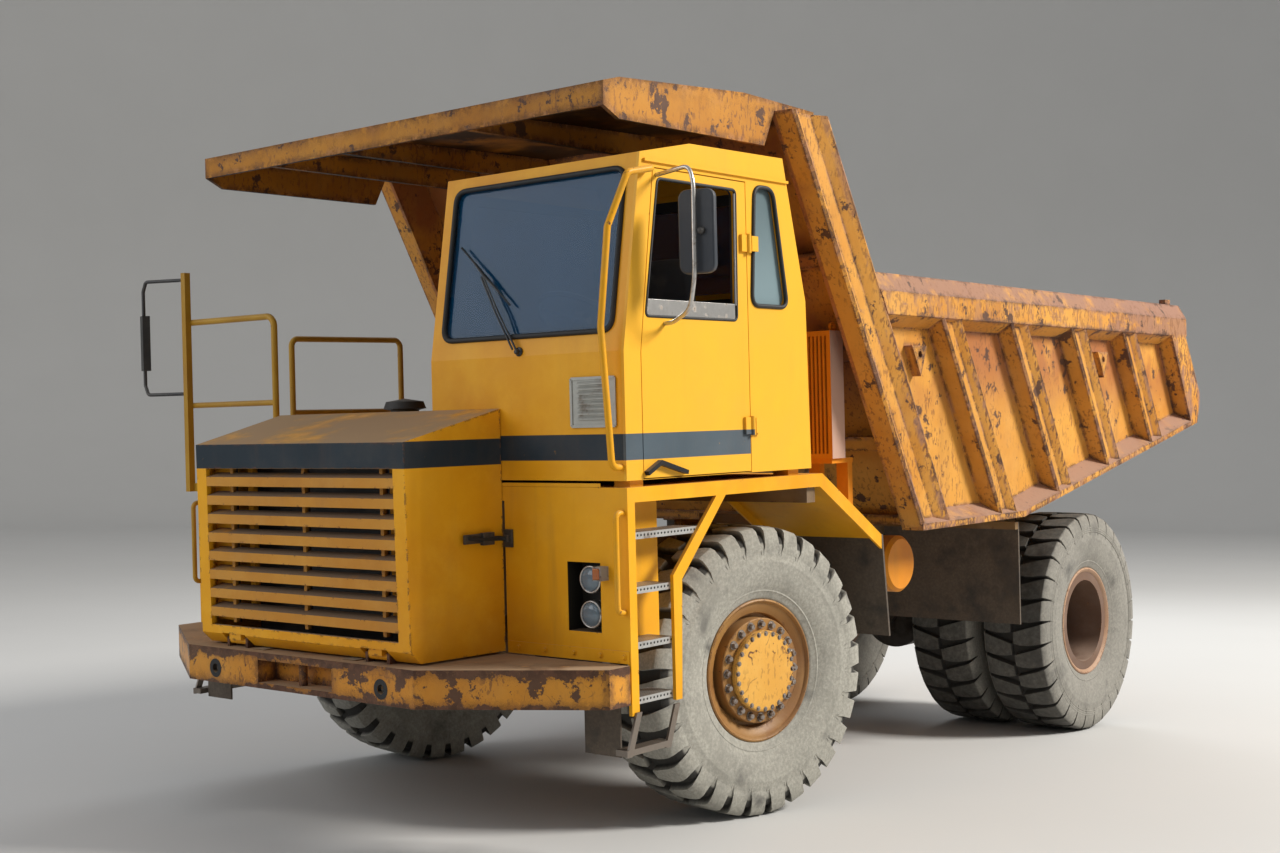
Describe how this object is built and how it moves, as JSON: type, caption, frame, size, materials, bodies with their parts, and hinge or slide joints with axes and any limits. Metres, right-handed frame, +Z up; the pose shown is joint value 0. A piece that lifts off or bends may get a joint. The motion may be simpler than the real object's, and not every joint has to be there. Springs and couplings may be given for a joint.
{
  "type": "dump truck",
  "caption": "Rigid quarry dump truck with a half-width cab, a tilting nose, twin rear wheels and a tipping steel body with a cab canopy.",
  "frame": {"origin": "on the ground under the middle of the truck's overall box", "axes": "+Y towards the rear of the truck, +X towards the truck's left side where the cab stands, +Z up"},
  "size_m": [4.1617, 7.9323, 3.9511],
  "materials": {
    "cab_paint": "satin, sun-faded yellow with a dark blue band",
    "body_paint": "dusty yellow with brown chips and rust",
    "frame_paint": "dusty, oily",
    "dark_steel": "dusty",
    "bare_steel": "worn",
    "rim_paint": "rusty and dusty",
    "black_paint": "satin black",
    "tyre_rubber": "dusty",
    "black_rubber": "dusty",
    "glass": "dusty clear",
    "lamp": "dusty",
    "trim_plastic": "worn",
    "seat_fabric": "worn",
    "white_paint": "dusty light grey"
  },
  "bodies": {
    "chassis": {"frame": "frame_paint", "cross_members": "frame_paint", "bumper": "body_paint", "radiator": "black_paint", "engine": "frame_paint", "engine_cover": "cab_paint", "driveline": "dark_steel", "fender_left": "cab_paint", "fender_right": "cab_paint", "steps": "bare_steel", "lamps": "lamp", "cab": "cab_paint", "cab_roof": "cab_paint", "cab_glass": "glass", "seat": "seat_fabric", "dashboard": "trim_plastic", "mirror_right": "black_paint", "handrails": "black_paint", "wiper": "black_paint", "air_cleaner": "trim_plastic", "oil_cooler": "black_paint", "battery_box": "white_paint", "tanks": "body_paint", "rubber_flaps": "black_rubber", "front_axle": "dark_steel", "springs": "dark_steel", "rear_axle": "dark_steel"},
    "door": {"door": "cab_paint", "door_glass": "glass", "mirror_left": "black_paint"},
    "nose": {"nose": "cab_paint", "grille": "cab_paint"},
    "bed": {"body_floor": "body_paint", "body_sills": "body_paint", "body_side_left": "body_paint", "body_side_right": "body_paint", "body_front": "body_paint", "canopy": "body_paint"},
    "hoist_barrels": {"hoist_barrels": "body_paint"},
    "hoist_rods": {"hoist_rods": "lamp"},
    "steer_left": {"knuckle_left": "dark_steel"},
    "steer_right": {"knuckle_right": "dark_steel"},
    "tie_rod": {"tie_rod": "dark_steel"},
    "wheel_front_left": {"tyre_front_left": "tyre_rubber", "rim_front_left": "rim_paint"},
    "wheel_front_right": {"tyre_front_right": "tyre_rubber", "rim_front_right": "rim_paint"},
    "wheel_rear_left": {"tyres_rear_left": "tyre_rubber", "rims_rear_left": "rim_paint"},
    "wheel_rear_right": {"tyres_rear_right": "tyre_rubber", "rims_rear_right": "rim_paint"}
  },
  "joints": [
    {"name": "bed_lift", "type": "hinge", "parent": "chassis", "child": "bed", "pos_m": [0, 2.76601, 1.59262], "axis": [-1, 0, 0], "range_deg": [0, 55]},
    {"name": "hoist_tilt", "type": "hinge", "parent": "chassis", "child": "hoist_barrels", "pos_m": [0, 0.93675, 1.07734], "axis": [1, 0, 0], "range_deg": [-0.1, 9.52]},
    {"name": "hoist_slide", "type": "slide", "parent": "hoist_barrels", "child": "hoist_rods", "axis": [0, 0.8304, 0.5572], "range_m": [-0.001, 0.805]},
    {"name": "steer_left", "type": "hinge", "parent": "chassis", "child": "steer_left", "pos_m": [1.06, -1.85381, 0.8], "axis": [0, -0.0436, 0.999], "range_deg": [-28, 48]},
    {"name": "steer_right", "type": "hinge", "parent": "chassis", "child": "steer_right", "pos_m": [-1.06, -1.85381, 0.8], "axis": [0, -0.0436, 0.999], "range_deg": [-28.1, 48.1]},
    {"name": "tie_rod_pivot", "type": "hinge", "parent": "steer_left", "child": "tie_rod", "pos_m": [1.00898, -1.5046, 0.69013], "axis": [0, -0.0436, 0.999], "range_deg": [-48.1, 28.1]},
    {"name": "wheel_front_left_spin", "type": "hinge", "parent": "steer_left", "child": "wheel_front_left", "pos_m": [1.31999, -1.89961, 0.798], "axis": [0.9848, -0.1735, -0.0076], "continuous": true},
    {"name": "wheel_front_right_spin", "type": "hinge", "parent": "steer_right", "child": "wheel_front_right", "pos_m": [-1.31999, -1.80801, 0.802], "axis": [0.9848, -0.1735, -0.0076], "continuous": true},
    {"name": "wheel_rear_left_spin", "type": "hinge", "parent": "chassis", "child": "wheel_rear_left", "pos_m": [1.065, 2.15, 0.8], "axis": [1, 0, 0], "continuous": true},
    {"name": "wheel_rear_right_spin", "type": "hinge", "parent": "chassis", "child": "wheel_rear_right", "pos_m": [-1.065, 2.15, 0.8], "axis": [1, 0, 0], "continuous": true},
    {"name": "door_swing", "type": "hinge", "parent": "chassis", "child": "door", "pos_m": [1.747, -2.34223, 2.65582], "axis": [0, -0.0436, 0.999], "range_deg": [0, 85]},
    {"name": "nose_tilt", "type": "hinge", "parent": "chassis", "child": "nose", "pos_m": [0, -3.85796, 0.96609], "axis": [1, 0, 0], "range_deg": [0, 60]}
  ],
  "couplings": [
    {"joint": "hoist_tilt", "follows": "bed_lift", "ratio": 0.1695},
    {"joint": "hoist_slide", "follows": "bed_lift", "m_per_rad": 0.83653},
    {"joint": "steer_right", "follows": "steer_left", "ratio": 1},
    {"joint": "tie_rod_pivot", "follows": "steer_left", "ratio": -1}
  ]
}
